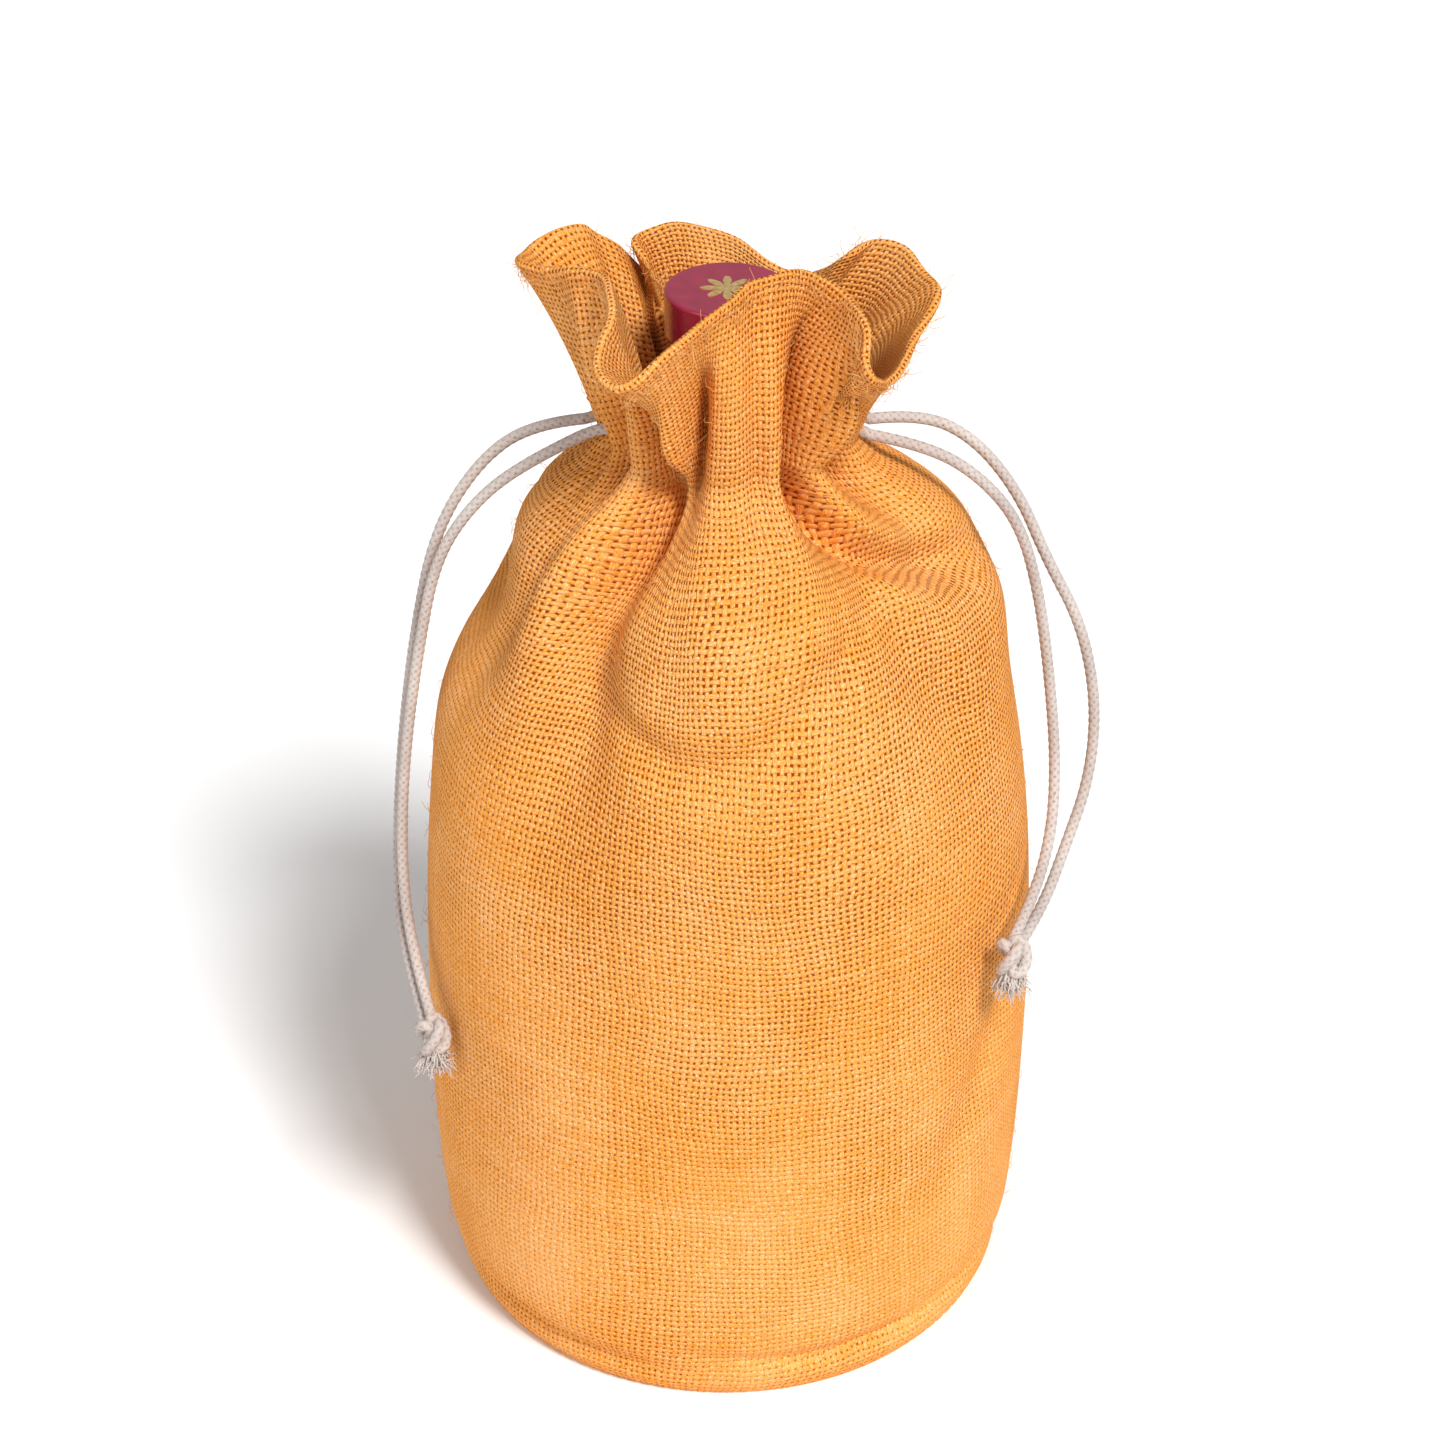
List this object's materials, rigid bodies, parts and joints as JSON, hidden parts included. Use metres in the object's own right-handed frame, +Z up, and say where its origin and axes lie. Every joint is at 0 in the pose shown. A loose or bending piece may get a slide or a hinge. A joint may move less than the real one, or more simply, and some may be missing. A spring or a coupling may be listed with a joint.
{
  "type": "drawstring wine gift bag",
  "caption": "Round jute drawstring gift bag gathered around the neck of a wine bottle, with knotted cotton cord tails hanging at each side.",
  "frame": {"origin": "centre of the flat base, on the surface it stands on", "axes": "+Z up the bottle, the front faces -Y, the cord tails leave the neck at +X and -X"},
  "size_m": [0.1916, 0.1674, 0.308],
  "materials": {
    "jute_cloth": "coarse open plain weave, dyed warm orange",
    "sewing_thread": "matt spun thread",
    "cotton_cord": "soft braided natural cotton",
    "bottle_glass": "dark green, clear",
    "red_wine": "dark red liquid",
    "cork": "natural cork",
    "capsule_foil": "glossy burgundy lacquer",
    "gold_foil": "hot-stamped gold foil",
    "label_paper": "uncoated cream paper"
  },
  "bodies": {
    "bag": {"front_panel": "jute_cloth", "back_panel": "jute_cloth", "front_hem_facing": "jute_cloth", "back_hem_facing": "jute_cloth", "left_cord_loop": "cotton_cord", "right_cord_loop": "cotton_cord", "base_disc": "jute_cloth", "base_seam_allowance": "jute_cloth", "base_seam_thread": "sewing_thread", "left_seam_allowance": "jute_cloth", "left_seam_thread": "sewing_thread", "right_seam_allowance": "jute_cloth", "right_seam_thread": "sewing_thread", "lower_casing_thread": "sewing_thread", "upper_casing_thread": "sewing_thread"},
    "bottle": {"bottle_glass": "bottle_glass", "wine": "red_wine", "cork": "cork", "capsule": "capsule_foil", "capsule_ornament": "gold_foil", "bottle_label": "label_paper"},
    "left_tails": {"left_front_strand": "cotton_cord", "left_back_strand": "cotton_cord", "left_knot": "cotton_cord", "left_frayed_ends": "cotton_cord"},
    "right_tails": {"right_front_strand": "cotton_cord", "right_back_strand": "cotton_cord", "right_knot": "cotton_cord", "right_frayed_ends": "cotton_cord"}
  },
  "joints": [
    {"name": "bottle_lift", "type": "slide", "parent": "bag", "child": "bottle", "axis": [0, 0, 1], "range_m": [0, 0.02]},
    {"name": "left_tails_swing", "type": "hinge", "parent": "bag", "child": "left_tails", "pos_m": [-0.0368, 0, 0.262], "axis": [0, 1, 0], "range_deg": [0, 75]},
    {"name": "right_tails_swing", "type": "hinge", "parent": "bag", "child": "right_tails", "pos_m": [0.0368, 0, 0.262], "axis": [0, -1, 0], "range_deg": [0, 75]}
  ]
}
